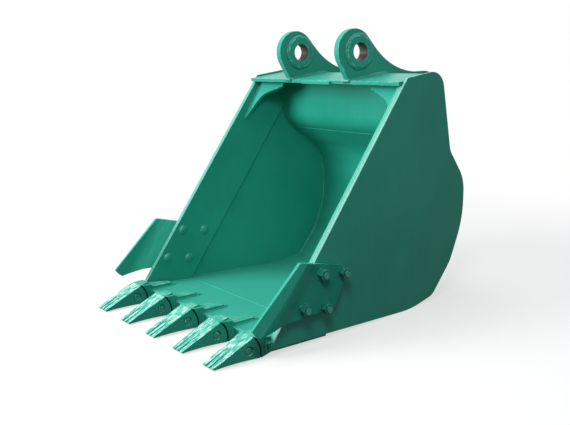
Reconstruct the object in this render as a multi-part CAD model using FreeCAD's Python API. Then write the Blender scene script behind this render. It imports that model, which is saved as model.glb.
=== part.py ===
import FreeCAD, Part
import math
import os

from FreeCAD import Vector

# Excavator digging bucket, millimetres.
# X runs across the bucket, the teeth point to -Y and +Z is up.
# The origin is the centre of the stick pin, midway between the ears.
# The bucket lies on its heel and on its teeth, as it is set down on the ground.

# Mouth and body
mouth_width = 1100.0        # over the side plates, along the mouth edge
mouth_top = (-22.0, -110.0)  # upper end of the mouth edge, y and z
mouth_angle = 52.45         # mouth edge below the horizontal, degrees
side_taper = 0.08           # how far each side leans in for each mm of depth
shell_thick = 16.0
side_thick = 12.0
side_overhang = 9.0         # side plates stand proud of the skin for the weld
mouth_bevel = 4.0           # bevel on the outer corner of the mouth edge
front_corner = (-757.0, 70.0)  # y of the lower front corner, and its radius

# Inner face of the rolled skin, from the hinge box down and forward to the lip: y, z, bend radius
wall_top_y = 83.5           # where the wall meets the top plate
wall_bend = (119.5, -352.0, 120.0)
back_upper = (345.0, -539.0, 190.0)
back_lower = (345.0, -769.0, 405.0)
heel_upper = (266.0, -947.0, 130.0)
heel_lower = (157.0, -1074.0, 40.0)
belly = (24.0, -1104.0, 425.0)
floor_front = (-508.0, -1080.0)
seam_place = 0.21           # the cross seam, as a share of the slanted stretch below the wall bend

# Hinge box
top_slope = 6.0             # top edge of the side plates, degrees up to the rear
box_corner = (200.0, 80.0)  # y of the upper rear corner, and its radius
box_foot = (268.0, -446.0, 90.0)  # where the box runs out into the back
box_shoulder_slope = 1.40   # fall of the slanted stretch below the foot, for each mm back
box_shoulder_radius = 170.0
box_skin_tail = 60.0        # the rear plate runs on this far below the foot before it is trimmed
box_split_drop = 6.0        # seam of the top and rear plates, below the round corner
top_front = -62.0           # front edge of the top plate
box_rib_thick = 20.0
stop_strip = (205.0, 12.0, 15.0)  # length, depth and height of the strip on the top plate's edge
stop_strip_drop = 4.0
edge_round = 3.0            # broken edges of the strip and the lip

# Lip and side bars
lip_thick = 38.0
lip_front = -770.0
lip_bevel = (5.0, 33.0)     # length of the sloped front, and the thickness left at the edge
lip_lap = 36.0              # the lip's lower half runs on under the floor
bar_width = 205.0
bar_thick = 16.0

# Corner gussets
gusset_thick = 14.0
gusset_setback = (26.0, 44.0)  # behind the mouth edge, at the gusset's top and at its tail
gusset_length = 195.0
gusset_drop = 226.0
gusset_leg = 53.0           # width of the leg where it meets the arm
gusset_tip = 10.0           # height left at the gusset's inner end
gusset_tip_place = 30.0     # distance down the mouth edge of that end
gusset_depth = 94.0         # height of the gusset's arm where it meets the leg
gusset_round = 80.0

# Ears, hubs and bushes
ear_spacing = 428.0         # centre to centre
ear_thick = 30.0
eye_radius = 98.0
stick_eye = (-19.0, 3.0)    # the stick eye's rim is drawn about this point, ahead of its pin
link_pin = (400.0, -207.0)  # centre of the link pin, y and z
pin_radius = 40.0
bush_wall = 9.0
hub_radius = 72.0
hub_proud = 12.0
hub_chamfer = 3.0
bush_chamfer = 1.0
ear_drop_angle = 50.0       # upper edge below the horizontal where it leaves the stick eye
ear_sweep = 360.0
ear_toe = -600.0
ear_bite = 4.0              # the blank starts this far inside the skin, then is trimmed to it
ear_root = (60.0, 120.0)    # how far the blank's root lies behind and below its front foot
ear_arc_peaks = (120.0, 30.0)  # directions of the middle of each eye's rim, degrees

# Side cutters
cutter_thick = 25.0
cutter_jog = 18.0
cutter_jog_start = -2.0     # depth where the wing starts to step out, just ahead of the mouth edge
cutter_jog_length = 64.0
cutter_reach = 420.0        # the section is drawn this far each way, then cut to the outline
cutter_jog_radius = 190.0
cutter_edge = 16.0          # thickness left at the sharpened front
cutter_grind = 45.0
cutter_outline = [
    (-639.0, -766.0, 12.0),
    (-878.0, -982.0, 8.0),
    (-849.0, -1015.0, 10.0),
    (-742.0, -998.0, 50.0),
    (-455.0, -994.0, 40.0),
    (-376.0, -832.0, 26.0),
]

# Cutter bolts, as distance down the mouth edge and depth behind it
bolt_places = [(882.0, 42.0), (826.0, 144.0), (1038.0, 42.0), (986.0, 144.0)]
bolt_diameter = 27.0
bolt_hole_clearance = 0.5
bolt_head_diameter = 48.0
bolt_head_height = 10.0
bolt_end = 6.0
nut_flats = 41.0
nut_height = 22.0
nut_crown = 1.0             # how far the chamfer of the nut's end reaches in from its flats
washer_diameter = 50.0
washer_thick = 4.0

# Teeth
tooth_count = 5
outer_tooth_inset = 77.0    # from the bucket's side to the middle of the outer teeth
tooth_tip = (-1009.0, -1117.0)
tooth_tip_height = 6.0
tooth_tip_rake = 3.0        # how far the tip's lower edge lies behind its upper edge
tooth_tip_width = 78.0
tooth_base_width = 92.0
tooth_seam_top = (-826.0, -1037.0)
tooth_seam_low = (-801.0, -1126.0)
tooth_seam_bulge = 13.0
tooth_seam_gap = 5.0        # open line between the point's rear edge and the adapter's shoulders
tooth_belly_rise = 4.0
groove_width = 12.0
groove_depth = 8.5
groove_offset = 13.0
groove_length = 105.0
groove_run_in = 10.0        # the groove starts this far ahead of the tip
groove_fade = 0.045         # rise of the groove's floor for each mm of length
socket_clearance = 0.2

# Tooth adapters
nose_front = -915.0
nose_front_z = (-1094.0, -1111.0)
nose_rear_z = (-1050.0, -1115.0)
nose_width = (46.0, 64.0)
nose_round = 4.0
nose_root = 36.0            # the nose runs this far into the adapter's body
adapter_shoulder = (-772.0, -1041.0, 10.0)
adapter_leg_start = (-758.0, 8.0)  # y where the shoulder has come down to the leg, and its radius
adapter_crest = (-776.0, -1031.0, 8.0)  # rear top corner of the rib on the shoulder
adapter_rib_foot = -763.0
adapter_rib_width = (86.0, 42.0)  # at the seam and at the crest
adapter_rib_depth = 20.0
adapter_leg_end = -634.0
adapter_leg_height = 12.0
adapter_leg_rise = 4.0      # the leg is this much taller at its root
adapter_leg_width = 42.0    # at its end
adapter_waist = (-768.0, 12.0)  # y where the leg starts to narrow, and the radius there
adapter_heel = (-790.0, -1125.0)
adapter_heel_end = -724.0
adapter_leg_slope = 14.0    # length of the sloped end of the upper leg
adapter_leg_round = 6.0
adapter_heel_radius = 14.0
pin_place = (-845.0, -1087.0)
tooth_pin_diameter = 24.0
tooth_pin_inset = 4.0       # the pin's ends lie this far inside the point's sides
pin_hole_clearance = 0.5
pin_recess = (38.0, 8.0)    # diameter and depth of the round recess at each end of the pin
tooth_pin_chamfer = 2.0
retainer_diameter = 38.0
retainer_thick = 7.0

# Derived directions: down along the mouth edge, and into the bucket from it
lean = math.radians(mouth_angle)
mouth_dir = Vector(0, -math.cos(lean), -math.sin(lean))
depth_dir = Vector(0, math.sin(lean), -math.cos(lean))
mouth_start = Vector(0, mouth_top[0], mouth_top[1])
across = Vector(1, 0, 0)
far_reach = 3000.0


# Side view outlines: a corner is y, z and an optional bend radius

def corner_radius(corner):
    return corner[2] if len(corner) > 2 else 0.0


def side_view(y, z):
    return Vector(0, y, z)


def point_of(corner):
    return side_view(corner[0], corner[1])


def path_edges(corners, closed=False, lay=side_view):
    # straight runs joined by tangent arcs, laid into a plane by the given function
    count = len(corners)
    stops = []
    for i, corner in enumerate(corners):
        here = lay(corner[0], corner[1])
        radius = corner_radius(corner)
        at_end = not closed and i in (0, count - 1)
        if radius <= 0 or at_end:
            stops.append((here, None, here))
            continue
        before = corners[i - 1]
        after = corners[(i + 1) % count]
        back = (lay(before[0], before[1]) - here).normalize()
        ahead = (lay(after[0], after[1]) - here).normalize()
        half = back.getAngle(ahead) / 2
        cut = radius / math.tan(half)
        bisector = (back + ahead).normalize()
        middle = here + bisector * (radius / math.sin(half) - radius)
        stops.append((here + back * cut, middle, here + ahead * cut))
    edges = []
    for i, (start, middle, end) in enumerate(stops):
        if middle is not None:
            edges.append(Part.Arc(start, middle, end).toShape())
        if closed or i < count - 1:
            following = stops[(i + 1) % count][0]
            if following.distanceToPoint(end) > 1e-6:
                edges.append(Part.LineSegment(end, following).toShape())
    return edges


def offset_corners(corners, distance):
    # moves an open path to its left, as seen along +X with Y to the right
    moved = []
    count = len(corners)
    for i, corner in enumerate(corners):
        here = point_of(corner)
        normals = []
        for first, second in ((i - 1, i), (i, i + 1)):
            if first >= 0 and second < count:
                run = (point_of(corners[second]) - point_of(corners[first])).normalize()
                normals.append(Vector(0, -run.z, run.y))
        total = normals[0]
        radius = corner_radius(corner)
        if len(normals) == 2:
            total = (normals[0] + normals[1]) / (1 + normals[0].dot(normals[1]))
            turns_left = normals[0].cross(normals[1]).x > 0
            if radius > 0:
                radius += -distance if turns_left else distance
        place = here + total * distance
        moved.append((place.y, place.z, radius))
    return moved


def face_of(edges):
    return Part.Face(Part.Wire(Part.sortEdges(edges)[0]))


def plate(corners, x_from, x_to):
    # a flat plate square to X, from a closed side view outline
    face = face_of(path_edges(corners, True))
    face.translate(across * x_from)
    return face.extrude(across * (x_to - x_from))


def bent_sheet(corners, thickness, half_width):
    # a sheet that follows an open side view path, thickened to its left
    other = offset_corners(corners, thickness)
    edges = path_edges(corners) + path_edges(other)
    edges.append(Part.LineSegment(point_of(corners[0]), point_of(other[0])).toShape())
    edges.append(Part.LineSegment(point_of(corners[-1]), point_of(other[-1])).toShape())
    face = face_of(edges)
    face.translate(across * -half_width)
    return face.extrude(across * (2 * half_width))


# Places measured from the mouth edge

def mouth_point(x, down, depth):
    return mouth_start + across * x + mouth_dir * down + depth_dir * depth


def half_width_at(depth, inset):
    return mouth_width / 2 - inset * math.hypot(1, side_taper) - side_taper * depth


def prism_along_mouth(flat_points):
    # a prism along the mouth edge, from points of x and depth
    points = [mouth_point(x, -far_reach / 2, depth) for x, depth in flat_points]
    face = Part.Face(Part.makePolygon(points + points[:1]))
    return face.extrude(mouth_dir * far_reach)


def side_slab(inset, thickness):
    # the layer of the right side that starts at an inset from its outer face
    depths = (-far_reach / 3, far_reach / 3)
    outer = [(half_width_at(d, inset), d) for d in depths]
    inner = [(half_width_at(d, inset + thickness), d) for d in reversed(depths)]
    return prism_along_mouth(outer + inner)


def between_sides(shape, inset):
    # trims a cross piece to the faces that it is welded between
    depths = (-far_reach / 3, far_reach / 3)
    right = [(half_width_at(d, inset), d) for d in depths]
    left = [(-half_width_at(d, inset), d) for d in reversed(depths)]
    return shape.common(prism_along_mouth(right + left))


def side_normal():
    # out of the right side plate's outer face
    return (across + depth_dir * side_taper).normalize()


def side_point(down, depth):
    return mouth_point(half_width_at(depth, 0), down, depth)


def mirrored(shape):
    # the left hand twin of a right hand piece
    return shape.mirror(Vector(0, 0, 0), across)


def single_solid(shape):
    return max(shape.Solids, key=lambda solid: solid.Volume)


# Outlines of the body

skin_path = [back_upper, back_lower, heel_upper, heel_lower, belly, floor_front]


def on_line(first, second, y):
    return first[1] + (second[1] - first[1]) * (y - first[0]) / (second[0] - first[0])


def seam_point():
    return tuple(wall_bend[i] + (back_upper[i] - wall_bend[i]) * seam_place for i in (0, 1))


def body_outline(margin):
    # closed outline at a margin outside the skin, with the side plates' top and mouth edges
    low = offset_corners([seam_point()] + skin_path, shell_thick + margin)[1:]
    bottom_end = low[-1]
    before_end = low[-2]
    front_y, front_round = front_corner
    corner_z = on_line(before_end, bottom_end, front_y)
    mouth_fall = math.tan(lean)
    corner_top = mouth_top[1] + (front_y - mouth_top[0]) * mouth_fall
    rise = math.tan(math.radians(top_slope))
    corner_y, corner_round = box_corner
    box_top = mouth_top[1] + (corner_y - mouth_top[0]) * rise
    drop = side_overhang - margin
    top = [
        (mouth_top[0], mouth_top[1] - drop),
        (corner_y - drop, box_top - drop, corner_round - drop),
        (box_foot[0] - drop, box_foot[1], box_foot[2]),
    ]
    front = [(front_y, corner_z), (front_y, corner_top, front_round)]
    return top + [box_shoulder(low[0][0])] + low[1:-1] + front


def box_shoulder(back_y):
    # the slanted stretch between the box and the back is steeper than the skin inside
    fall = (back_y - box_foot[0]) * box_shoulder_slope
    return (back_y, box_foot[1] - fall, box_shoulder_radius)


side_outline = body_outline(side_overhang)
skin_outline = body_outline(0.0)


# Plates of the body

def bolt_axis_points():
    return [side_point(down, depth) for down, depth in bolt_places]


def bolt_hole_cutters(diameter):
    reach = cutter_thick + cutter_jog + side_thick + bar_thick + nut_height
    normal = side_normal()
    radius = diameter / 2
    holes = [Part.makeCylinder(radius, 2 * reach, p - normal * reach, normal)
             for p in bolt_axis_points()]
    return Part.makeCompound(holes)


def side_blank(inset, thickness):
    blank = plate(side_outline, mouth_width / 4, mouth_width)
    return blank.common(side_slab(inset, thickness))


def side_plate():
    half = mouth_width / 2
    reach = mouth_bevel * 2
    bevel = prism_along_mouth([
        (half - mouth_bevel, -reach),
        (half - mouth_bevel, 0),
        (half, mouth_bevel),
        (half + reach, mouth_bevel),
        (half + reach, -reach),
    ])
    shape = side_blank(0, side_thick).cut(bevel)
    shape = shape.cut(bolt_hole_cutters(bolt_diameter + 2 * bolt_hole_clearance))
    return single_solid(shape)


def side_bar(wall):
    strip = prism_along_mouth([(0, -bar_width), (mouth_width, -bar_width),
                               (mouth_width, bar_width), (0, bar_width)])
    shape = side_blank(side_thick, bar_thick).common(strip).cut(top_plate_blank()).cut(wall)
    shape = shape.cut(bolt_hole_cutters(bolt_diameter + 2 * bolt_hole_clearance))
    return single_solid(shape)


def lip_line(y):
    # upper face of the lip, in line with the floor
    return on_line(belly, floor_front, y)


def lip_blank():
    rear = floor_front[0] + lip_lap
    slope, edge = lip_bevel
    corners = [
        (rear, lip_line(rear)),
        (lip_front + slope, lip_line(lip_front + slope)),
        (lip_front, lip_line(lip_front) - lip_thick + edge, edge_round),
        (lip_front, lip_line(lip_front) - lip_thick, edge_round),
        (rear, lip_line(rear) - lip_thick),
    ]
    return plate(corners, -mouth_width / 2, mouth_width / 2)


def lip_plate(neighbours):
    shape = between_sides(lip_blank(), side_thick)
    for neighbour in neighbours:
        shape = shape.cut(neighbour)
    return single_solid(shape)


def bucket_shell():
    sheet = bent_sheet([seam_point()] + skin_path, shell_thick, mouth_width)
    return single_solid(between_sides(sheet, side_thick))


def box_front_plate():
    wall_top = (wall_top_y, top_line(wall_top_y) - shell_thick / 2)
    sheet = bent_sheet([wall_top, wall_bend, seam_point()], shell_thick, mouth_width)
    sheet = sheet.cut(top_plate_blank())
    return single_solid(between_sides(sheet, side_thick))


def top_line(y):
    rise = math.tan(math.radians(top_slope))
    return mouth_top[1] - side_overhang + (y - mouth_top[0]) * rise


def box_skin_blank():
    # outer sheet of the hinge box: over the top, round the corner and down the rear
    corner, foot = skin_outline[1], skin_outline[2]
    slope = (foot[0] - corner[0]) / (foot[1] - corner[1])
    below = (foot[0] - box_skin_tail * slope, foot[1] - box_skin_tail)
    path = [below, (corner[0], corner[1], corner[2]), (top_front, top_line(top_front))]
    return bent_sheet(path, shell_thick, mouth_width)


def box_split_z():
    corner = skin_outline[1]
    return corner[1] - corner[2] - box_split_drop


def half_space_above(z):
    return Part.makeBox(far_reach, far_reach, far_reach, Vector(-far_reach / 2, -far_reach / 2, z))


def top_plate_blank():
    return box_skin_blank().common(half_space_above(box_split_z()))


def hinge_top_plate():
    return single_solid(between_sides(top_plate_blank(), side_thick))


def hinge_rear_plate(shell):
    sheet = box_skin_blank().cut(half_space_above(box_split_z()))
    outside = plate(skin_outline, -mouth_width, mouth_width)
    sheet = between_sides(sheet.common(outside), side_thick).cut(shell)
    return max(sheet.Solids, key=lambda solid: solid.BoundBox.ZMax)


def box_rib(walls):
    # fills the section of the hinge box under the ear
    middle = ear_spacing / 2
    rib = plate(skin_outline, middle - box_rib_thick / 2, middle + box_rib_thick / 2)
    joined = walls[0].multiFuse(walls[1:])
    inside = Vector(middle, (wall_bend[0] + box_foot[0]) / 2, wall_bend[1])
    return [solid for solid in rib.cut(joined).Solids if solid.isInside(inside, 0.1, False)][0]


def stop_strip_bar():
    length, depth, height = stop_strip
    top = top_line(top_front) - stop_strip_drop
    corners = [
        (top_front, top),
        (top_front - depth, top, edge_round),
        (top_front - depth, top - height, edge_round),
        (top_front, top - height),
    ]
    return plate(corners, -length / 2, length / 2)


def corner_gusset(top_plate, bar):
    # drawn as x and distance down the mouth edge, in a plane that leans back from it
    top, tail = gusset_setback
    lean_back = (tail - top) / gusset_drop
    edge = half_width_at(tail, side_thick + bar_thick)
    buried = edge + bar_thick / 2
    root = top_plate.BoundBox.ZMax
    start = (mouth_top[1] - root) / math.sin(lean) - top
    reach = edge - gusset_length
    leg = edge - gusset_leg
    corners = [
        (buried, start),
        (buried, gusset_drop),
        (edge - gusset_tip / 2, gusset_drop),
        (leg, gusset_depth, gusset_round),
        (reach, gusset_tip_place + gusset_tip),
        (reach, start),
    ]

    def leaning_plane(x, down):
        return mouth_point(x, down, top + lean_back * down)
    behind = (depth_dir - mouth_dir * lean_back).normalize()
    shape = face_of(path_edges(corners, True, leaning_plane)).extrude(behind * gusset_thick)
    shape = between_sides(shape, side_thick).cut(top_plate).cut(bar)
    return single_solid(shape)


# Ears with their hubs and bushes

def tangent_from(centre, radius, outside, turn):
    # where a line from an outside point touches a circle
    reach = centre - outside
    distance = reach.Length
    swing = math.acos(radius / distance)
    base = math.atan2(-reach.z, -reach.y)
    angle = base + turn * swing
    return centre + Vector(0, math.cos(angle), math.sin(angle)) * radius


def on_circle(centre, radius, degrees):
    angle = math.radians(degrees)
    return centre + Vector(0, math.cos(angle), math.sin(angle)) * radius


def arc_about(centre, radius, start, end, through_degrees):
    return Part.Arc(start, on_circle(centre, radius, through_degrees), end).toShape()


def line(start, end):
    return Part.LineSegment(start, end).toShape()


def ear(envelope, walls):
    stick = point_of(stick_eye)
    link = point_of(link_pin)
    foot = Vector(0, top_front, top_line(top_front))
    toe = Vector(0, skin_outline[4][0] - ear_bite, ear_toe)
    front = tangent_from(stick, eye_radius, foot, -1)
    leave = on_circle(stick, eye_radius, 90 - ear_drop_angle)
    link_top = link + Vector(0, 0, eye_radius)
    drop = leave.z - link_top.z
    elbow = (leave.y + drop / math.tan(math.radians(ear_drop_angle)), link_top.z, ear_sweep)
    rear = tangent_from(link, eye_radius, toe, 1)
    inside = Vector(0, foot.y + ear_root[0], foot.z - ear_root[1])
    edges = [line(foot, front), arc_about(stick, eye_radius, front, leave, ear_arc_peaks[0])]
    edges += path_edges([(leave.y, leave.z), elbow, (link_top.y, link_top.z)])
    edges += [arc_about(link, eye_radius, link_top, rear, ear_arc_peaks[1]), line(rear, toe)]
    edges += [line(toe, inside), line(inside, foot)]
    face = face_of(edges)
    face.translate(across * (ear_spacing / 2 - ear_thick / 2))
    shape = face.extrude(across * ear_thick).cut(envelope)
    for wall in walls:
        shape = shape.cut(wall)
    for centre in pin_centres().values():
        shape = shape.cut(x_cylinder(centre, hub_radius, ear_spacing / 2, 4 * ear_thick))
    return single_solid(shape)


def x_cylinder(centre, radius, x_middle, length):
    start = Vector(x_middle - length / 2, centre.y, centre.z)
    return Part.makeCylinder(radius, length, start, across)


def hub_length():
    return ear_thick + 2 * hub_proud


def turned_ring(centre, x_middle, outer, inner, length, chamfer):
    half = length / 2
    section = [(inner, -half), (outer - chamfer, -half), (outer, -half + chamfer),
               (outer, half - chamfer), (outer - chamfer, half), (inner, half)]
    points = [Vector(x_middle + x, centre.y, centre.z + r) for r, x in section]
    face = Part.Face(Part.makePolygon(points + points[:1]))
    return face.revolve(Vector(0, centre.y, centre.z), across, 360)


def pin_centres():
    return {"stick": Vector(0, 0, 0), "link": Vector(0, link_pin[0], link_pin[1])}


def ear_hub(centre):
    inner = pin_radius + bush_wall
    return turned_ring(centre, ear_spacing / 2, hub_radius, inner, hub_length(), hub_chamfer)


def ear_bush(centre):
    outer = pin_radius + bush_wall
    return turned_ring(centre, ear_spacing / 2, outer, pin_radius, hub_length(), bush_chamfer)


# Side cutters and their bolts

def cutter_section():
    # outer line of the section as depth and x: flat on the side plate, then stepped outwards
    def out_at(depth, out):
        return (depth, half_width_at(depth, 0) + out * math.hypot(1, side_taper))
    jog_end = cutter_jog_start - cutter_jog_length
    jog_outer = cutter_jog_radius + cutter_thick
    rear = out_at(cutter_reach, 0)
    front = out_at(-cutter_reach, cutter_jog)
    return [
        rear,
        out_at(cutter_jog_start, 0) + (cutter_jog_radius,),
        out_at(jog_end, cutter_jog) + (jog_outer,),
        front,
    ]


def side_cutter():
    def across_mouth(depth, x):
        return mouth_point(x, -far_reach / 2, depth)
    inner = cutter_section()
    outer = offset_corners(inner, -cutter_thick)
    edges = path_edges(inner, False, across_mouth) + path_edges(outer, False, across_mouth)
    for end in (0, -1):
        edges.append(line(across_mouth(*inner[end][:2]), across_mouth(*outer[end][:2])))
    sheet = face_of(edges).extrude(mouth_dir * far_reach)
    shape = sheet.common(plate(cutter_outline, mouth_width / 4, mouth_width))
    shape = shape.cut(cutter_grinding())
    shape = shape.cut(bolt_hole_cutters(bolt_diameter + 2 * bolt_hole_clearance))
    return single_solid(shape)


def cutter_grinding():
    # the sloped face that brings the leading edge down to its working thickness
    start, end = point_of(cutter_outline[0]), point_of(cutter_outline[1])
    run = (end - start).normalize()
    inward = Vector(0, -run.z, run.y)
    if inward.y < 0:
        inward = inward * -1
    outer = offset_corners(cutter_section(), -cutter_thick)
    normal = side_normal()
    lead = mouth_point(outer[-1][1], 0, outer[-1][0])
    base = start + across * ((lead - start).dot(normal) / normal.x)
    removed = cutter_thick - cutter_edge
    low = base - normal * removed
    slope_end = base + inward * cutter_grind
    past = (low - slope_end) * 2 + slope_end
    points = [slope_end, past, past + normal * cutter_thick * 2, slope_end + normal * cutter_thick]
    face = Part.Face(Part.makePolygon(points + points[:1]))
    length = (end - start).Length
    face.translate(run * -length)
    return face.extrude(run * (3 * length))


def cutter_bolt(place):
    # round head inside the bar, shank out through the plates
    normal = side_normal()
    head_seat = -(side_thick + bar_thick)
    shank_end = cutter_thick + washer_thick + nut_height + bolt_end
    shank = Part.makeCylinder(bolt_diameter / 2, shank_end - head_seat,
                              place + normal * head_seat, normal)
    dome_radius = (bolt_head_diameter ** 2 / 4 + bolt_head_height ** 2) / (2 * bolt_head_height)
    ball_centre = place + normal * (head_seat + dome_radius - bolt_head_height)
    ball = Part.makeSphere(dome_radius, ball_centre)
    disc = Part.makeCylinder(bolt_head_diameter, bolt_head_height * 2,
                             place + normal * (head_seat - bolt_head_height * 2), normal)
    return shank.fuse(ball.common(disc)).removeSplitter()


def hexagon(centre, normal, flats, height):
    side_dir = mouth_dir
    other = normal.cross(side_dir)
    radius = flats / math.sqrt(3)
    points = []
    for i in range(6):
        angle = math.radians(60 * i)
        points.append(centre + side_dir * (radius * math.cos(angle)) + other * (radius * math.sin(angle)))
    return Part.Face(Part.makePolygon(points + points[:1])).extrude(normal * height)


def cutter_nut(place):
    normal = side_normal()
    seat = place + normal * (cutter_thick + washer_thick)
    block = hexagon(seat, normal, nut_flats, nut_height)
    # a 30 degree cone takes the corners off the outer end
    end_radius = nut_flats / 2 - nut_crown
    crown = Part.makeCone(end_radius + nut_height * math.sqrt(3), end_radius, nut_height,
                          seat, normal)
    bore = Part.makeCylinder(bolt_diameter / 2, nut_height, seat, normal)
    return block.common(crown).cut(bore)


def cutter_washer(place):
    normal = side_normal()
    seat = place + normal * cutter_thick
    disc = Part.makeCylinder(washer_diameter / 2, washer_thick, seat, normal)
    return disc.cut(Part.makeCylinder(bolt_diameter / 2, washer_thick, seat, normal))


# Teeth: a socketed point on the nose of an adapter that straddles the lip

def seam_edge():
    # the rear edge of the point bows back towards the adapter
    top, low = point_of(tooth_seam_top), point_of(tooth_seam_low)
    middle = (top + low) / 2 + Vector(0, tooth_seam_bulge, 0)
    return Part.Arc(top, middle, low).toShape()


def tooth_blank(middle_x):
    tip, top, low = point_of(tooth_tip), point_of(tooth_seam_top), point_of(tooth_seam_low)
    tip_low = tip + Vector(0, tooth_tip_rake, -tooth_tip_height)
    belly_middle = (tip_low + low) / 2 + Vector(0, 0, tooth_belly_rise)
    edges = [
        line(tip, top),
        seam_edge(),
        Part.Arc(low, belly_middle, tip_low).toShape(),
        line(tip_low, tip),
    ]
    face = face_of(edges)
    face.translate(across * (middle_x - tooth_base_width))
    block = face.extrude(across * (2 * tooth_base_width))
    base_y = tooth_seam_low[0] + tooth_seam_bulge
    return block.common(tapered_block(middle_x, tip.y, base_y, tooth_tip_width, tooth_base_width))


def tapered_block(middle_x, y_front, y_rear, width_front, width_rear):
    # full height, narrower at its front
    points = [
        Vector(middle_x - width_front / 2, y_front, -far_reach / 2),
        Vector(middle_x + width_front / 2, y_front, -far_reach / 2),
        Vector(middle_x + width_rear / 2, y_rear, -far_reach / 2),
        Vector(middle_x - width_rear / 2, y_rear, -far_reach / 2),
    ]
    face = Part.Face(Part.makePolygon(points + points[:1]))
    return face.extrude(Vector(0, 0, far_reach / 2))


def nose_blank(middle_x, margin, rear_y):
    # the adapter's nose, or the socket around it when a margin is given
    front_y = nose_front - margin
    full = tooth_seam_low[0]
    top = on_line((nose_front, nose_front_z[0]), (full, nose_rear_z[0]), front_y) + margin
    low = on_line((nose_front, nose_front_z[1]), (full, nose_rear_z[1]), front_y) - margin
    rear_top = on_line((nose_front, nose_front_z[0]), (full, nose_rear_z[0]), rear_y) + margin
    rear_low = on_line((nose_front, nose_front_z[1]), (full, nose_rear_z[1]), rear_y) - margin
    corners = [
        (front_y, top, nose_round),
        (rear_y, rear_top),
        (rear_y, rear_low),
        (front_y, low, nose_round),
    ]
    block = plate(corners, middle_x - tooth_base_width, middle_x + tooth_base_width)
    front_w = nose_width[0] + 2 * margin
    rear_w = on_line((nose_front, nose_width[0]), (full, nose_width[1]), rear_y) + 2 * margin
    return block.common(tapered_block(middle_x, front_y, rear_y, front_w, rear_w))


def tooth_grooves(middle_x):
    # two grooves in the upper face, running back from the tip and fading out
    tip = point_of(tooth_tip) + across * middle_x
    along = (point_of(tooth_seam_top) - point_of(tooth_tip)).normalize()
    up = Vector(0, -along.z, along.y)
    run = (along + up * groove_fade).normalize()
    radius = groove_width / 2
    length = groove_length + groove_run_in
    grooves = []
    for hand in (-1, 1):
        start = (tip + across * (hand * groove_offset) - along * groove_run_in
                 + up * (radius - groove_depth))
        tool = Part.makeCylinder(radius, length, start, run)
        grooves.append(tool.fuse(Part.makeSphere(radius, start + run * length)))
    return grooves


def pin_axis_cylinder(middle_x, diameter, length, shift=0.0):
    centre = Vector(0, pin_place[0], pin_place[1])
    return x_cylinder(centre, diameter / 2, middle_x + shift, length)


def cheek_half(y):
    ends = (tooth_tip[0], tooth_tip_width), (tooth_seam_low[0] + tooth_seam_bulge, tooth_base_width)
    return on_line(ends[0], ends[1], y) / 2


def nose_half():
    return on_line((nose_front, nose_width[0]), (tooth_seam_low[0], nose_width[1]), pin_place[0]) / 2


def tooth_point(middle_x):
    shape = tooth_blank(middle_x)
    rear_y = tooth_seam_low[0] + 2 * tooth_seam_bulge
    shape = shape.cut(nose_blank(middle_x, socket_clearance, rear_y))
    for groove in tooth_grooves(middle_x):
        shape = shape.cut(groove)
    hole = tooth_pin_diameter + 2 * pin_hole_clearance
    shape = shape.cut(pin_axis_cylinder(middle_x, hole, 2 * tooth_base_width))
    recess_width, recess_depth = pin_recess
    for hand in (-1, 1):
        shift = hand * cheek_half(pin_place[0])
        shape = shape.cut(pin_axis_cylinder(middle_x, recess_width, 2 * recess_depth, shift))
    return single_solid(shape)


def tooth_pin(middle_x):
    length = 2 * (cheek_half(pin_place[0]) - tooth_pin_inset)
    shape = pin_axis_cylinder(middle_x, tooth_pin_diameter, length)
    ends = [e for e in shape.Edges if abs(abs(e.CenterOfMass.x - middle_x) - length / 2) < 0.01]
    return shape.makeChamfer(tooth_pin_chamfer, ends)


def tooth_retainer(middle_x):
    shift = nose_half() - retainer_thick / 2
    ring = pin_axis_cylinder(middle_x, retainer_diameter, retainer_thick, shift)
    trim = nose_blank(middle_x, 0, tooth_seam_low[0])
    return ring.cut(pin_axis_cylinder(middle_x, tooth_pin_diameter, tooth_base_width)).common(trim)


def adapter_outline():
    leg_y, leg_round = adapter_leg_start
    leg_z = lip_line(adapter_leg_end) + adapter_leg_height
    heel_y, heel_z = adapter_heel
    under = lip_line(adapter_heel_end) - lip_thick
    return [
        tooth_seam_top,
        adapter_shoulder,
        (leg_y, lip_line(leg_y) + adapter_leg_height + adapter_leg_rise, leg_round),
        (adapter_leg_end - adapter_leg_slope, leg_z, adapter_leg_round),
        (adapter_leg_end, lip_line(adapter_leg_end)),
        (adapter_heel_end, under),
        (heel_y, heel_z, adapter_heel_radius),
        tooth_seam_low,
    ]


def adapter_plan(middle_x):
    # full width over the lip's front, then the upper leg narrows to its end
    wide = tooth_base_width / 2
    waist_y, waist_round = adapter_waist
    outline = [
        (nose_front - wide, wide),
        (waist_y, wide, waist_round),
        (adapter_leg_end, adapter_leg_width / 2),
    ]
    twin = [(c[0], -c[1]) + tuple(c[2:]) for c in reversed(outline)]

    def plan_view(y, x):
        return Vector(middle_x + x, y, adapter_split_z())
    face = face_of(path_edges(outline + twin, True, plan_view))
    return face.extrude(Vector(0, 0, far_reach))


def adapter_rib(middle_x):
    # a rib on the shoulder, in line with the point's upper face and narrower at its rear
    front = tooth_seam_top[0]
    foot_z = lip_line(adapter_rib_foot) + adapter_leg_height
    corners = [
        tooth_seam_top,
        adapter_crest,
        (adapter_rib_foot, foot_z),
        (adapter_rib_foot, foot_z - adapter_rib_depth),
        (front, tooth_seam_top[1] - adapter_rib_depth),
    ]
    half = tooth_base_width / 2
    block = plate(corners, middle_x - half, middle_x + half)
    return block.common(tapered_block(middle_x, front, adapter_rib_foot, *adapter_rib_width))


def adapter_split_z():
    # the upper leg narrows above this height
    return lip_line(adapter_heel_end) - lip_thick / 2


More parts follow.
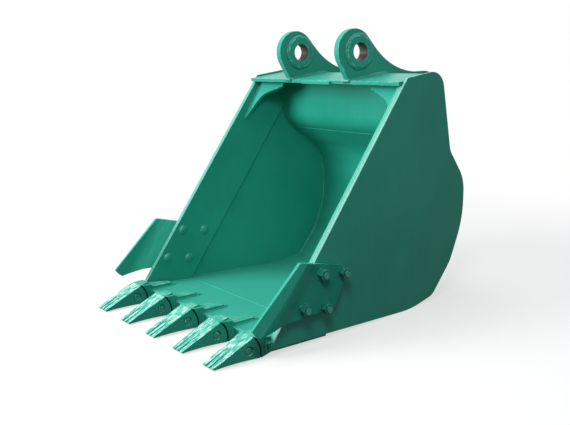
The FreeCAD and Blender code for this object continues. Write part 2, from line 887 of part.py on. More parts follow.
def tooth_adapter(middle_x, lip):
    half = tooth_base_width / 2
    body = plate(adapter_outline(), middle_x - half, middle_x + half)
    lower = body.cut(half_space_above(adapter_split_z()))
    upper = body.common(adapter_plan(middle_x))
    nose = nose_blank(middle_x, 0, tooth_seam_top[0] + nose_root)
    point = tooth_blank(middle_x)
    room = point.copy()
    room.translate(Vector(0, tooth_seam_gap, 0))
    shape = upper.fuse([lower, adapter_rib(middle_x)]).cut(room).cut(point)
    shape = shape.fuse(nose).cut(lip).removeSplitter()
    hole = tooth_pin_diameter + 2 * pin_hole_clearance
    shape = shape.cut(pin_axis_cylinder(middle_x, hole, tooth_base_width))
    # the retainer's pocket is open at the side of the nose
    shift = nose_half()
    shape = shape.cut(pin_axis_cylinder(middle_x, retainer_diameter, 2 * retainer_thick, shift))
    return single_solid(shape)


# Build and write

def right_hand_pieces(walls, envelope):
    # what the right side has, and the left side mirrors
    bar = side_bar(walls["box_front_plate"])
    places = bolt_axis_points()
    pieces = {
        "side_plate": side_plate(),
        "side_bar": bar,
        "box_rib": box_rib(list(walls.values())),
        "corner_gusset": corner_gusset(walls["hinge_top_plate"], bar),
        "ear": ear(envelope, walls.values()),
        "side_cutter": side_cutter(),
        "cutter_bolts": Part.makeCompound([cutter_bolt(p) for p in places]),
        "cutter_nuts": Part.makeCompound([cutter_nut(p) for p in places]),
        "cutter_washers": Part.makeCompound([cutter_washer(p) for p in places]),
    }
    for pin, centre in pin_centres().items():
        pieces[pin + "_hub"] = ear_hub(centre)
        pieces[pin + "_bush"] = ear_bush(centre)
    return pieces


def build():
    shell = bucket_shell()
    walls = {
        "bucket_shell": shell,
        "box_front_plate": box_front_plate(),
        "hinge_top_plate": hinge_top_plate(),
        "hinge_rear_plate": hinge_rear_plate(shell),
    }
    pieces = dict(walls)
    pieces["front_stop_strip"] = stop_strip_bar()
    envelope = plate(skin_outline, -mouth_width, mouth_width)
    for name, shape in right_hand_pieces(walls, envelope).items():
        pieces[name + "_right"] = shape
        pieces[name + "_left"] = mirrored(shape)
    lip = lip_plate([pieces["side_bar_left"], pieces["side_bar_right"], shell])
    pieces["lip_plate"] = lip
    outer_x = mouth_width / 2 - outer_tooth_inset
    for i in range(tooth_count):
        middle_x = outer_x * (2 * i / (tooth_count - 1) - 1)
        number = str(i + 1)
        pieces["tooth_adapter_" + number] = tooth_adapter(middle_x, lip)
        pieces["tooth_point_" + number] = tooth_point(middle_x)
        pieces["tooth_pin_" + number] = tooth_pin(middle_x)
        pieces["tooth_retainer_" + number] = tooth_retainer(middle_x)
    return pieces


os.makedirs("parts", exist_ok=True)
for node, shape in build().items():
    shape.exportStep(os.path.join("parts", node + ".step"))
    box = shape.BoundBox
    print("%-22s solids %d valid %s vol %.0f  x %.0f..%.0f y %.0f..%.0f z %.0f..%.0f" % (
        node, len(shape.Solids), shape.isValid(), shape.Volume,
        box.XMin, box.XMax, box.YMin, box.YMax, box.ZMin, box.ZMax))
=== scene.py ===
import math

import bmesh
import bpy
from mathutils import Euler, Matrix, Vector
from mathutils.bvhtree import BVHTree


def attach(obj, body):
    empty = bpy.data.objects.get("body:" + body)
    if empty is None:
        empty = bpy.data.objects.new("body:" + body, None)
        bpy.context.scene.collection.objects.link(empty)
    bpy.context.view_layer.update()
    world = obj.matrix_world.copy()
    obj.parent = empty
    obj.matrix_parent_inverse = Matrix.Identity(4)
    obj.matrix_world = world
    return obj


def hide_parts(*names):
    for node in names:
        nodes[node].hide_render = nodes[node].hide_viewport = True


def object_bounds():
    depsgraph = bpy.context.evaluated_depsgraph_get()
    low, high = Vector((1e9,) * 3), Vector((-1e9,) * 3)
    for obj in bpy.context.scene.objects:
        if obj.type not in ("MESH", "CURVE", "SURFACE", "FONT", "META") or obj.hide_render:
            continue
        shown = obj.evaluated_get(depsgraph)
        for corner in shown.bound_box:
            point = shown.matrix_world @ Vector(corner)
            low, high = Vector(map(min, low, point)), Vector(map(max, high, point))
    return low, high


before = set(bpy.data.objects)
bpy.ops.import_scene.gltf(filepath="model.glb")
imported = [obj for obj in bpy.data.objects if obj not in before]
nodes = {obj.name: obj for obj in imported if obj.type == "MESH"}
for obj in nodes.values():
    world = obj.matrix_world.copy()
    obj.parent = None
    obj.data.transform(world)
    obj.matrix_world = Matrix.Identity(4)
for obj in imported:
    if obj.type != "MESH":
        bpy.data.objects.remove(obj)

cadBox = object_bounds()
hands = ("left", "right")
toothNumbers = range(1, 1 + sum(name.startswith("tooth_point_") for name in nodes))


# Objects and meshes

def newObject(name, data):
    thing = bpy.data.objects.new(name, data)
    bpy.context.scene.collection.objects.link(thing)
    return thing


def meshFrom(b, name):
    mesh = bpy.data.meshes.new(name)
    b.to_mesh(mesh)
    b.free()
    return mesh


def bmeshFrom(mesh):
    b = bmesh.new()
    b.from_mesh(mesh)
    bpy.data.meshes.remove(mesh)
    return b


def finishedMesh(thing):
    # the mesh that an object's modifiers, or its curve's bevel, give
    return bpy.data.meshes.new_from_object(thing.evaluated_get(bpy.context.evaluated_depsgraph_get()))


# Camera at the photograph's place

cameraView = dict(place=(3.1049, -2.5065, 0.1018), turn=(77.975, 2.702, 53.740), lens=53.684,
                  sensor=36.0, farthest=60.0)


def placeCamera(view):
    camera = bpy.data.cameras.new("photo_camera")
    camera.sensor_width = view["sensor"]
    camera.lens = view["lens"]
    camera.clip_end = view["farthest"]
    holder = newObject("photo_camera", camera)
    holder.location = view["place"]
    holder.rotation_euler = Euler([math.radians(a) for a in view["turn"]])
    bpy.context.scene.camera = holder


# Node helpers for the materials

def addNode(tree, kind, **values):
    node = tree.nodes.new(kind)
    for name, value in values.items():
        if name in node.inputs:
            node.inputs[name].default_value = value
        else:
            setattr(node, name, value)
    return node


def objectPlace(tree, stretch=(1, 1, 1)):
    # object coordinates, which match the frame, stretched for streaks
    texture = addNode(tree, "ShaderNodeTexCoord")
    mapping = addNode(tree, "ShaderNodeMapping", Scale=stretch)
    tree.links.new(texture.outputs["Object"], mapping.inputs["Vector"])
    return mapping.outputs["Vector"]


def grain(tree, look):
    # the plain noise of a pattern
    node = addNode(tree, "ShaderNodeTexNoise", Scale=look["scale"], Detail=look["detail"],
                   Roughness=look.get("roughness", 0.55))
    tree.links.new(objectPlace(tree, look.get("stretch", (1, 1, 1))), node.inputs["Vector"])
    return node.outputs["Fac"]


def between(tree, source, cut, levels=(0.0, 1.0)):
    # the first level below the cut, the second above it, and a slope across it
    node = addNode(tree, "ShaderNodeValToRGB")
    for element, position, grey in zip(node.color_ramp.elements, cut, levels):
        element.position = position
        element.color = (grey, grey, grey, 1)
    tree.links.new(source, node.inputs["Fac"])
    return node.outputs["Color"]


def pattern(tree, look):
    return between(tree, grain(tree, look), look["cut"], look.get("levels", (0.0, 1.0)))


def math2(tree, operation, first, second=0.0):
    node = addNode(tree, "ShaderNodeMath", operation=operation)
    for socket, value in zip(node.inputs, (first, second)):
        if isinstance(value, (int, float)):
            socket.default_value = value
        else:
            tree.links.new(value, socket)
    return node.outputs["Value"]


def mixColour(tree, amount, first, second):
    node = addNode(tree, "ShaderNodeMix", data_type="RGBA")
    for socket, value in ((node.inputs[0], amount), (node.inputs[6], first), (node.inputs[7], second)):
        if isinstance(value, (tuple, int, float)):
            socket.default_value = value
        else:
            tree.links.new(value, socket)
    return node.outputs[2]


def bump(tree, look, strength, under=None):
    node = addNode(tree, "ShaderNodeBump", Strength=strength, Distance=look["depth"])
    tree.links.new(grain(tree, look), node.inputs["Height"])
    if under is not None:
        tree.links.new(under, node.inputs["Normal"])
    return node.outputs["Normal"]


def smoothFade(tree, source, start, end, amount):
    # the amount up to the start, nothing past the end, and a soft slope between them
    fade = addNode(tree, "ShaderNodeMapRange", interpolation_type="SMOOTHSTEP")
    for name, value in (("From Min", start), ("From Max", end), ("To Min", amount), ("To Max", 0.0)):
        fade.inputs[name].default_value = value
    tree.links.new(source, fade.inputs["Value"])
    return fade.outputs["Result"]


def faceMark(tree, name):
    return addNode(tree, "ShaderNodeAttribute", attribute_name=name).outputs["Fac"]


def normalPart(tree, axis):
    # how far a face looks along an axis, with 1 in Z for one that looks straight up
    split = addNode(tree, "ShaderNodeSeparateXYZ")
    tree.links.new(addNode(tree, "ShaderNodeNewGeometry").outputs["Normal"], split.inputs["Vector"])
    return split.outputs[axis]


def linear(red, green, blue):
    # a colour written as it looks on a screen, 0 to 255
    def channel(value):
        value /= 255
        return value / 12.92 if value <= 0.04045 else ((value + 0.055) / 1.055) ** 2.4
    return (channel(red), channel(green), channel(blue), 1.0)


def newMaterial(name):
    material = bpy.data.materials.new(name)
    material.use_nodes = True
    tree = material.node_tree
    tree.nodes.clear()
    return material, tree, addNode(tree, "ShaderNodeOutputMaterial").inputs["Surface"]


def newFinish(name):
    material, tree, surface = newMaterial(name)
    shader = addNode(tree, "ShaderNodeBsdfPrincipled")
    tree.links.new(shader.outputs["BSDF"], surface)
    return material, tree, shader


# Paint on plate, welds and castings

platePaint = dict(
    colour=linear(44, 160, 140), shade=linear(34, 146, 126), wornAndHighlight=linear(128, 224, 206),
    # the darkest colour is painted shade, for the open line behind each point
    dust=linear(78, 172, 154), paintedShade=linear(10, 36, 30),
    gloss=0.16, roughness=(0.30, 0.38), wornRoughness=0.55, glossMix=(0.6, 0.4), glossCut=(0.20, 0.80),
    ripple=0.16, peel=0.06, scuff=0.12, dustAmount=0.14, settled=0.34, levelCut=(0.30, 0.80),
    wearCut=(0.50, 0.62), topWear=0.0, topCut=(0.55, 0.85), mouthWearAndHighlight=0.0, arrisHighlight=0.0, gap=None,
)
# the pale colour of the mouth is a painted highlight on its broken outer edge, and wear with painted
# highlight on its front face
mouthPaint = dict(platePaint, mouthWearAndHighlight=0.10, arrisHighlight=0.70, wornAndHighlight=linear(206, 242, 232))
# on the side cutters the pale colour is a painted highlight on the step that turns to the front
cutterPaint = dict(platePaint, gloss=0.05, dustAmount=0.22, scuff=0.5, mouthWearAndHighlight=0.55,
                   wornAndHighlight=linear(88, 218, 194))
# a darker copy of the plate paint for the nuts and washers, for grime and painted shade around them
boltPaint = dict(platePaint, colour=linear(30, 126, 108), shade=linear(20, 102, 86), ripple=0.0, peel=0.2)
pointPaint = dict(
    platePaint, roughness=(0.30, 0.48), ripple=0.0, peel=0.30, wearCut=(0.44, 0.60),
    dustAmount=0.10, scuff=0.2, topWear=0.85, wornAndHighlight=linear(214, 244, 234), settled=0.0,
)
adapterPaint = dict(pointPaint, topWear=0.30)
weldPaint = dict(platePaint, roughness=(0.20, 0.32), ripple=0.0, peel=0.25, scuff=0.0, gloss=0.42)
headPaint = dict(weldPaint, peel=0.1, dustAmount=0.05)

# the noise of each pattern in the paint, with the cut at which it starts to show or the depth of its bumps
paintGrain = dict(
    broad=dict(scale=2.2, detail=3.0, cut=(0.30, 0.72)),
    fine=dict(scale=34.0, detail=6.0),
    streak=dict(stretch=(9.0, 9.0, 1.1), scale=2.6, detail=5.0, roughness=0.6, cut=(0.48, 0.80)),
    scratch=dict(stretch=(3.0, 0.6, 22.0), scale=16.0, detail=8.0, roughness=0.7, cut=(0.66, 0.74)),
    patch=dict(scale=4.6, detail=4.0, cut=(0.55, 0.70)),
    chips=dict(scale=60.0, detail=5.0, roughness=0.65),
    rub=dict(stretch=(22.0, 5.0, 7.0), scale=5.0, detail=7.0, roughness=0.7, cut=(0.47, 0.63)),
    brush=dict(stretch=(40.0, 1.2, 1.2), scale=6.0, detail=5.0, cut=(0.30, 0.62), levels=(0.55, 1.0)),
    peel=dict(scale=190.0, detail=2.0, depth=0.0006),
    ripple=dict(scale=3.4, detail=1.0, depth=0.010),
)


def gapShade(tree, gap):
    # painted shade on both sides of the open line behind a point, which is an arc in y and z
    reach = addNode(tree, "ShaderNodeVectorMath", operation="MULTIPLY_ADD")
    tree.links.new(objectPlace(tree), reach.inputs[0])
    reach.inputs[1].default_value = (0, 1, 1)
    reach.inputs[2].default_value = (0, -gap["centre"][0], -gap["centre"][1])
    length = addNode(tree, "ShaderNodeVectorMath", operation="LENGTH")
    tree.links.new(reach.outputs["Vector"], length.inputs[0])
    away = math2(tree, "ABSOLUTE", math2(tree, "SUBTRACT", length.outputs["Value"], gap["radius"]))
    grime = smoothFade(tree, away, gap["band"], gap["band"] + gap["fade"], gap["depth"])
    # only the rear part of the arc, and only on the cheeks
    split = addNode(tree, "ShaderNodeSeparateXYZ")
    tree.links.new(reach.outputs["Vector"], split.inputs["Vector"])
    rear = math2(tree, "GREATER_THAN", split.outputs["Y"], gap["radius"] * gap["rearShare"])
    cheek = math2(tree, "GREATER_THAN", math2(tree, "ABSOLUTE", normalPart(tree, "X")), gap["cheekFrom"])
    return math2(tree, "MULTIPLY", grime, math2(tree, "MULTIPLY", rear, cheek))


def paintMaterial(name, look):
    material, tree, shader = newFinish(name)

    def times(first, second):
        return math2(tree, "MULTIPLY", first, second)

    def greater(first, second):
        return math2(tree, "MAXIMUM", first, second)

    broad = grain(tree, paintGrain["broad"])
    shaded = between(tree, broad, paintGrain["broad"]["cut"])
    colour = mixColour(tree, shaded, look["colour"], look["shade"])
    dusty = times(pattern(tree, paintGrain["streak"]), look["dustAmount"])
    if look["settled"]:
        # a haze of dust on the faces that look up
        level = between(tree, normalPart(tree, "Z"), look["levelCut"])
        dusty = greater(dusty, times(level, look["settled"]))
    colour = mixColour(tree, dusty, colour, look["dust"])
    scuffs = times(pattern(tree, paintGrain["scratch"]), pattern(tree, paintGrain["patch"]))
    colour = mixColour(tree, times(scuffs, look["scuff"]), colour, look["wornAndHighlight"])
    chips = between(tree, grain(tree, paintGrain["chips"]), look["wearCut"])
    # chipped edges are wear; this share also carries the painted highlights of the mouth and the side
    # cutters
    wearAndHighlight = times(faceMark(tree, "edgeBand"), chips)
    if look["topWear"]:
        # rubbed patches on top of the teeth
        top = between(tree, normalPart(tree, "Z"), look["topCut"])
        wearAndHighlight = greater(wearAndHighlight, times(times(top, pattern(tree, paintGrain["rub"])), look["topWear"]))
    if look["mouthWearAndHighlight"]:
        # a painted highlight on the broken edge of the mouth and on the step of a side cutter, and the
        # front of the mouth brushed pale by wear and painted highlight
        face = times(faceMark(tree, "mouthFace"), look["mouthWearAndHighlight"])
        arris = times(faceMark(tree, "arrisFace"), look["arrisHighlight"])
        wearAndHighlight = greater(wearAndHighlight, times(greater(face, arris), pattern(tree, paintGrain["brush"])))
    colour = mixColour(tree, wearAndHighlight, colour, look["wornAndHighlight"])
    # painted shade in the open line behind each point, on its marked faces and in a band along its arc
    deep = faceMark(tree, "gapShadeFace")
    if look["gap"]:
        deep = greater(deep, gapShade(tree, look["gap"]))
    tree.links.new(mixColour(tree, deep, colour, look["paintedShade"]), shader.inputs["Base Color"])

    broadShare, fineShare = look["glossMix"]
    fine = grain(tree, paintGrain["fine"])
    uneven = math2(tree, "ADD", times(broad, broadShare), times(fine, fineShare))
    rough = between(tree, uneven, look["glossCut"], look["roughness"])
    tree.links.new(greater(rough, times(wearAndHighlight, look["wornRoughness"])), shader.inputs["Roughness"])
    normal = bump(tree, paintGrain["peel"], look["peel"])
    if look["ripple"]:
        # thin plate between its welds is never quite flat
        normal = bump(tree, paintGrain["ripple"], look["ripple"], normal)
    tree.links.new(normal, shader.inputs["Normal"])
    shader.inputs["Specular IOR Level"].default_value = look["gloss"]
    return material


# Bare dark steel in the bores

boreSteel = dict(
    colour=linear(66, 54, 48), grease=linear(30, 24, 20), paint=platePaint["shade"],
    roughness=(0.34, 0.60), metal=0.45, turning=0.3,
    smear=dict(scale=26.0, detail=5.0, cut=(0.40, 0.62)),
    lathe=dict(stretch=(60.0, 1.0, 1.0), scale=14.0, detail=3.0, depth=0.0004),
)


def boreMaterial(name, look):
    material, tree, shader = newFinish(name)
    grease = pattern(tree, look["smear"])
    bare = mixColour(tree, grease, look["colour"], look["grease"])
    painted = faceMark(tree, "paintedFace")
    tree.links.new(mixColour(tree, painted, bare, look["paint"]), shader.inputs["Base Color"])
    low, high = look["roughness"]
    tree.links.new(between(tree, grease, (0.0, 1.0), (high, low)), shader.inputs["Roughness"])
    tree.links.new(bump(tree, look["lathe"], look["turning"]), shader.inputs["Normal"])
    metal = math2(tree, "SUBTRACT", look["metal"], math2(tree, "MULTIPLY", painted, look["metal"]))
    tree.links.new(metal, shader.inputs["Metallic"])
    return material


# Pieces that stand for the CAD nodes, with broken edges

mergeDist = 1e-5
flatAngle = 0.5             # degrees between triangles that are parts of one flat face
plateEdge = dict(width=0.0016, segments=2, sharpAngle=32)
mouthEdge = dict(plateEdge, width=0.0028)
castEdge = dict(width=0.0022, segments=3, sharpAngle=30)
boltEdge = dict(width=0.0012, segments=2, sharpAngle=28)


def mergedCopy(nodeName):
    mesh = nodes[nodeName].data.copy()
    for attribute in [a for a in mesh.attributes if a.name == "custom_normal"]:
        mesh.attributes.remove(attribute)
    b = bmeshFrom(mesh)
    bmesh.ops.remove_doubles(b, verts=b.verts, dist=mergeDist)
    return b


def joinFlats(b):
    bmesh.ops.dissolve_limit(b, angle_limit=math.radians(flatAngle), verts=b.verts, edges=b.edges)


def sharpEdges(b, degrees):
    limit = math.radians(degrees)
    return [e for e in b.edges if len(e.link_faces) == 2 and e.calc_face_angle(0.0) > limit]


def addPiece(b, name, material, smoothAngle=40):
    mesh = meshFrom(b, name)
    mesh.polygons.foreach_set("use_smooth", [True] * len(mesh.polygons))
    mesh.set_sharp_from_angle(angle=math.radians(smoothAngle))
    mesh.materials.append(material)
    piece = newObject(name, mesh)
    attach(piece, "root")
    return piece


def dressNode(nodeName, edgeLook, material, marks=(), trim=None):
    # marks are pairs of a face attribute and the test that says which faces have it
    b = mergedCopy(nodeName)
    if trim:
        b = trim(b)
    joinFlats(b)
    band = b.faces.layers.float.new("edgeBand")
    marked = [(b.faces.layers.float.new(name), test) for name, test in marks]
    rounded = bmesh.ops.bevel(
        b, geom=sharpEdges(b, edgeLook["sharpAngle"]), offset=edgeLook["width"],
        segments=edgeLook["segments"], profile=0.5, affect="EDGES", clamp_overlap=True, material=-1)
    for face in rounded["faces"]:
        face[band] = 1.0
    for face in b.faces:
        for layer, test in marked:
            face[layer] = float(test(face))
    piece = addPiece(b, nodeName + "_skin", material)
    even = piece.modifiers.new("even_normals", "WEIGHTED_NORMAL")
    even.keep_sharp = True
    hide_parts(nodeName)
    return piece


# Faces that are marked by their place and by where they look

def facesMouth(face):
    return abs(face.normal.x) < 0.2 and face.normal.y < -0.6 and face.normal.z > 0.3


def onMouthArris(face):
    # the broken edge between the mouth face and the outside of a side plate, which gets a painted highlight
    return 0.2 <= abs(face.normal.x) < 0.96 and face.normal.y < -0.2 and face.normal.z > 0.05


def stepHighlightShare(face):
    # a painted highlight that grows over the step of a side cutter as its inner face turns to the front
    if abs(face.normal.x) < 0.5:
        return 0.0
    return min(max(-face.normal.y / 0.30, 0.0), 1.0)


def facesAlongPins(face):
    return abs(face.normal.x) > 0.5


# The open line between a point and the shoulders of its adapter

gapBand = (-0.832, -0.775)   # the stretch of y that holds the line


def facesBack(face):
    return gapBand[0] < face.calc_center_median().y < gapBand[1] and face.normal.y > 0.5


def facesPoint(face):
    # the nose inside the point, and the shoulder that the point's rear stands off from
    place = face.calc_center_median()
    return place.y < gapBand[0] or (place.y < gapBand[1] and face.normal.y < -0.5)


def gapArc(nodeName):
    # the rear of a point is part of a cylinder, and two of its faces give the axis and radius
    b = mergedCopy(nodeName)
    rear = sorted((f for f in b.faces if facesBack(f)), key=lambda f: f.normal.z)
    first, last = [(f.calc_center_median().yz, f.normal.yz) for f in (rear[0], rear[-1])]
    b.free()
    radius = (last[0] - first[0]).length / (last[1] - first[1]).length
    return tuple(first[0] - first[1] * radius), radius


arcCentre, arcRadius = gapArc("tooth_point_1")
gapWidth = 0.005
# the tool is a disc at each side, out from the adapter's middle and a lip short of the point's rear
gapTool = dict(out=0.0435, thick=0.015, lip=0.0002, segments=144)
# painted shade along both sides of the open line behind each point
gapShadeLook = dict(centre=(arcCentre[0] + gapWidth / 2, arcCentre[1]), radius=arcRadius,
                band=0.0028, fade=0.0020, depth=0.85, rearShare=0.4, cheekFrom=0.5)


def cutFrom(b, tool):
    # takes one mesh away from another with the Boolean modifier
    parts = (("trimmed", b), ("trimTool", tool))
    holders = [newObject(name, meshFrom(part, name)) for name, part in parts]
    cut = holders[0].modifiers.new("cut", "BOOLEAN")
    cut.operation = "DIFFERENCE"
    cut.solver = "EXACT"
    cut.object = holders[1]
    trimmed = bmeshFrom(finishedMesh(holders[0]))
    for holder in holders:
        mesh = holder.data
        bpy.data.objects.remove(holder)
        bpy.data.meshes.remove(mesh)
    return trimmed


def openGap(b):
    # opens the line at both outsides of an adapter, in front of its shoulders
    middle = (min(v.co.x for v in b.verts) + max(v.co.x for v in b.verts)) / 2
    radius = arcRadius - gapTool["lip"]
    tool = bmesh.new()
    for side in (-1, 1):
        place = Vector((middle + side * gapTool["out"], arcCentre[0] + gapWidth, arcCentre[1]))
        turned = Matrix.Translation(place) @ Matrix.Rotation(math.radians(90), 4, "Y")
        bmesh.ops.create_cone(tool, cap_ends=True, segments=gapTool["segments"], radius1=radius,
                              radius2=radius, depth=gapTool["thick"], matrix=turned)
    return cutFrom(b, tool)


# Weld beads, laid where a sharp edge of one piece lies on another

plateWeld = dict(radius=0.0048, pitch=0.0075, ripple=0.12, wander=0.0005)
heavyWeld = dict(radius=0.0085, pitch=0.0090, ripple=0.18, wander=0.0012)
fineWeld = dict(radius=0.0019, pitch=0.0060, ripple=0.08, wander=0.0003)
seamFit = 0.0007            # how near an edge lies to the piece that it is welded to
seamAngle = 25
stepsPerRipple = 3
spotDigits = 6              # decimals by which two ends count as one spot


def seamLines(nodeName, otherName, keep):
    b = mergedCopy(nodeName)
    other = mergedCopy(otherName)
    tree = BVHTree.FromBMesh(other)
    joined = []
    for edge in sharpEdges(b, seamAngle):
        first, second = (v.co for v in edge.verts)
        places = (first, second, (first + second) / 2)
        away = [tree.find_nearest(p)[3] for p in places]
        if max(away) < seamFit and keep(places[2]):
            joined.append((first.copy().freeze(), second.copy().freeze()))
    b.free()
    other.free()
    return chained(joined)


def spot(point):
    return tuple(round(c, spotDigits) for c in point)


def chained(edges):
    # joins loose edges end to end into lines
    ends = {}
    for i, edge in enumerate(edges):
        for point in edge:
            ends.setdefault(spot(point), []).append(i)
    left = set(range(len(edges)))
    lines = []

    def follow(line):
        while True:
            nearby = [i for i in ends[spot(line[-1])] if i in left]
            if not nearby:
                return line
            left.discard(nearby[0])
            first, second = edges[nearby[0]]
            line.append(second if (first - line[-1]).length < 10 ** -spotDigits else first)

    while left:
        line = follow(list(edges[left.pop()]))
        lines.append(follow(line[::-1]))
    return lines


def evenPoints(line, spacing):
    # points at an even spacing along a line
    lengths = [(b - a).length for a, b in zip(line, line[1:])]
    total = sum(lengths)
    count = max(3, round(total / spacing))
    points = []
    travelled, i = 0.0, 0
    for step in range(count + 1):
        target = total * step / count
        while i < len(lengths) - 1 and travelled + lengths[i] < target:
            travelled += lengths[i]
            i += 1
        share = (target - travelled) / max(lengths[i], 1e-9)
        points.append(line[i].lerp(line[i + 1], min(max(share, 0.0), 1.0)))
    return points


def layWelds(name, lines, look, material):
    curve = bpy.data.curves.new(name, "CURVE")
    curve.dimensions = "3D"
    curve.bevel_depth = look["radius"]
    curve.bevel_resolution = 2
    curve.use_fill_caps = True
    for line in lines:
        points = evenPoints(line, look["pitch"] / stepsPerRipple)
        closed = (line[0] - line[-1]).length < mergeDist
        if closed:
            points.pop()
        spline = curve.splines.new("POLY")
        spline.points.add(len(points) - 1)
        spline.use_cyclic_u = closed
        for i, point in enumerate(points):
            # even ripples, and a slow uneven swing of the hand that laid them
            phase = 2 * math.pi * i / stepsPerRipple
            swing = 0.31 * i / stepsPerRipple
            wander = look["wander"] * (math.sin(swing) + 0.6 * math.sin(2.7 * swing + 1.3))
            spline.points[i].co = (*(point + Vector((wander, wander, wander)) * 0.6), 1)
            fullness = 1 + look["ripple"] * math.sin(phase) + 0.08 * math.sin(1.9 * swing + 0.4)
            spline.points[i].radius = fullness
    holder = newObject(name + "_path", curve)
    b = bmeshFrom(finishedMesh(holder))
    bpy.data.objects.remove(holder)
    bmesh.ops.recalc_face_normals(b, faces=b.faces)
    return addPiece(b, name, material, 60)


def anywhere(place):
    return True


def behindMouth(nodeName, least):
    # places that lie at least this far behind the mouth edge, which a bar's longest edge follows
    b = mergedCopy(nodeName)
    joinFlats(b)
    longest = max(b.edges, key=lambda e: e.calc_length())
    along = (longest.verts[1].co - longest.verts[0].co).normalized()
    inward = Vector((0, along.z, -along.y)).normalized()
    if inward.y < 0:
        inward = -inward
    front = min(v.co.dot(inward) for v in b.verts)
    b.free()
    return lambda place: place.dot(inward) - front > least


# Floor, backdrop and lamps

# bounceColour is what the floor throws back at the bucket, and floorColour is how the floor looks
studio = dict(
    floorSize=60.0, floorDrop=0.0005, floorColour=linear(236, 238, 238), bounceColour=linear(48, 50, 50),
    shadowShare=0.36, fadeStart=1.3, fadeEnd=3.0, ambient=0.26, aim=(0.0, -0.35, -0.6),
)
lamps = dict(
    key=dict(place=(-2.5, -5.3, 1.3), size=3.0, power=440.0),
    top=dict(place=(-0.8, -0.6, 4.0), size=3.0, power=125.0),
    fill=dict(place=(1.9, -1.6, 1.2), size=0.7, power=27.0),
)


def whiteRays(tree):
    # 1 for the rays that are shown a white surround, which are those of the eye, mirrors and glass
    rays = addNode(tree, "ShaderNodeLightPath")
    shiny = math2(tree, "MAXIMUM", rays.outputs["Is Glossy Ray"], rays.outputs["Is Transmission Ray"])
    return math2(tree, "MAXIMUM", rays.outputs["Is Camera Ray"], shiny)


def mixShader(tree, amount, first, second):
    mix = addNode(tree, "ShaderNodeMixShader")
    for socket, value in zip(mix.inputs, (amount, first, second)):
        tree.links.new(value, socket)
    return mix.outputs["Shader"]


def floorMaterial(look):
    # pale with the object's soft shadow close by, and plain white farther out
    material, tree, surface = newMaterial("floor_pale")
    pale = addNode(tree, "ShaderNodeBsdfDiffuse", Color=look["floorColour"]).outputs["BSDF"]
    bounce = addNode(tree, "ShaderNodeBsdfDiffuse", Color=look["bounceColour"]).outputs["BSDF"]
    white = addNode(tree, "ShaderNodeEmission", Color=(1, 1, 1, 1), Strength=1.0).outputs["Emission"]
    reach = addNode(tree, "ShaderNodeVectorMath", operation="LENGTH")
    tree.links.new(objectPlace(tree), reach.inputs[0])
    near = smoothFade(tree, reach.outputs["Value"], look["fadeStart"], look["fadeEnd"], look["shadowShare"])
    seen = mixShader(tree, near, white, pale)
    tree.links.new(mixShader(tree, whiteRays(tree), bounce, seen), surface)
    return material


def buildFloor(look):
    b = bmesh.new()
    bmesh.ops.create_grid(b, x_segments=1, y_segments=1, size=look["floorSize"] / 2)
    floor = newObject("floor", meshFrom(b, "floor"))
    floor.location = (0, (cadBox[0][1] + cadBox[1][1]) / 2, cadBox[0][2] - look["floorDrop"])
    floor.data.materials.append(floorMaterial(look))


def buildWorld(look):
    world = bpy.data.worlds.new("studio_world")
    bpy.context.scene.world = world
    world.use_nodes = True
    tree = world.node_tree
    tree.nodes.clear()
    output = addNode(tree, "ShaderNodeOutputWorld")
    plain = addNode(tree, "ShaderNodeBackground", Color=(1, 1, 1, 1), Strength=look["ambient"])
    white = addNode(tree, "ShaderNodeBackground", Color=(1, 1, 1, 1), Strength=1.0)
    shown = mixShader(tree, whiteRays(tree), plain.outputs["Background"], white.outputs["Background"])
    tree.links.new(shown, output.inputs["Surface"])


def softLamp(name, look, aim):
    lamp = bpy.data.lights.new(name, "AREA")
    lamp.shape = "SQUARE"
    lamp.size = look["size"]
    lamp.energy = look["power"]
    holder = newObject(name, lamp)
    holder.location = look["place"]
    holder.rotation_euler = (Vector(aim) - Vector(look["place"])).to_track_quat("-Z", "Y").to_euler()


# Building the scene

bpy.context.scene.view_settings.view_transform = "Standard"
placeCamera(cameraView)

paint = paintMaterial("plate_paint", platePaint)
mouth = paintMaterial("mouth_paint", mouthPaint)
cutterCoat = paintMaterial("cutter_paint", cutterPaint)
boltCoat = paintMaterial("bolt_paint", boltPaint)
headCoat = paintMaterial("bolt_head_paint", headPaint)
pointCast = paintMaterial("point_paint", dict(pointPaint, gap=gapShadeLook))
cast = paintMaterial("adapter_paint", dict(adapterPaint, gap=gapShadeLook))
weld = paintMaterial("weld_paint", weldPaint)
bore = boreMaterial("bore_steel", boreSteel)
print("materials made, gap radius %.4f m, centre %.4f %.4f" % (arcRadius, *arcCentre))

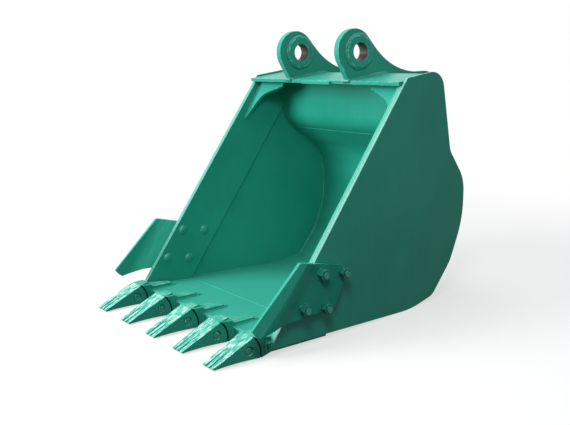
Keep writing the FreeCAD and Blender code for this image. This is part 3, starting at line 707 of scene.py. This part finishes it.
plateNodes = ["bucket_shell", "box_front_plate", "hinge_top_plate", "hinge_rear_plate",
              "front_stop_strip", "lip_plate"]
for hand in hands:
    plateNodes += [part + "_" + hand for part in
                   ("corner_gusset", "ear", "stick_hub", "link_hub", "box_rib")]
    dressNode("side_cutter_" + hand, plateEdge, cutterCoat, [("mouthFace", stepHighlightShare)])
    for part in ("side_plate", "side_bar"):
        dressNode(part + "_" + hand, mouthEdge, mouth,
                  [("mouthFace", facesMouth), ("arrisFace", onMouthArris)])
    dressNode("cutter_bolts_" + hand, boltEdge, headCoat)
    for part in ("cutter_nuts", "cutter_washers"):
        dressNode(part + "_" + hand, boltEdge, boltCoat)
    for pin in ("stick", "link"):
        dressNode(pin + "_bush_" + hand, plateEdge, bore, [("paintedFace", facesAlongPins)])
for nodeName in plateNodes:
    dressNode(nodeName, plateEdge, paint)
for number in toothNumbers:
    # the faces in the open line behind each point are marked for painted shade
    dressNode("tooth_point_%d" % number, castEdge, pointCast, [("gapShadeFace", facesBack)])
    dressNode("tooth_adapter_%d" % number, castEdge, cast, [("gapShadeFace", facesPoint)],
              openGap)
    dressNode("tooth_pin_%d" % number, boltEdge, cast)
    dressNode("tooth_retainer_%d" % number, boltEdge, bore)
print("plates, castings and bolts dressed")

bodyLines, earLines, fineLines, toothLines = [], [], [], []
for hand in hands:
    for part in ("bucket_shell", "hinge_top_plate", "hinge_rear_plate", "box_front_plate", "lip_plate"):
        bodyLines += seamLines(part, "side_plate_" + hand, anywhere)
    for part in ("hinge_top_plate", "hinge_rear_plate", "bucket_shell"):
        earLines += seamLines("ear_" + hand, part, anywhere)
    for pin in ("stick", "link"):
        earLines += seamLines("ear_" + hand, pin + "_hub_" + hand, anywhere)
    for part in ("hinge_top_plate", "side_bar_" + hand):
        bodyLines += seamLines("corner_gusset_" + hand, part, anywhere)
    clearOfEdge = behindMouth("side_bar_" + hand, 0.02)
    fineLines += seamLines("side_bar_" + hand, "side_plate_" + hand, clearOfEdge)
fineLines += seamLines("front_stop_strip", "hinge_top_plate", anywhere)
for part in ("lip_plate", "box_front_plate"):
    fineLines += seamLines(part, "bucket_shell", anywhere)
for number in toothNumbers:
    toothLines += seamLines("tooth_adapter_%d" % number, "lip_plate", anywhere)
layWelds("body_welds", bodyLines, plateWeld, weld)
layWelds("ear_welds", earLines, heavyWeld, weld)
layWelds("seam_welds", fineLines, fineWeld, weld)
layWelds("tooth_welds", toothLines, plateWeld, weld)
print("welds laid", len(bodyLines), len(earLines), len(fineLines), len(toothLines))

buildFloor(studio)
buildWorld(studio)
for lamp, look in lamps.items():
    softLamp(lamp + "_lamp", look, studio["aim"])
print("floor and lamps set")
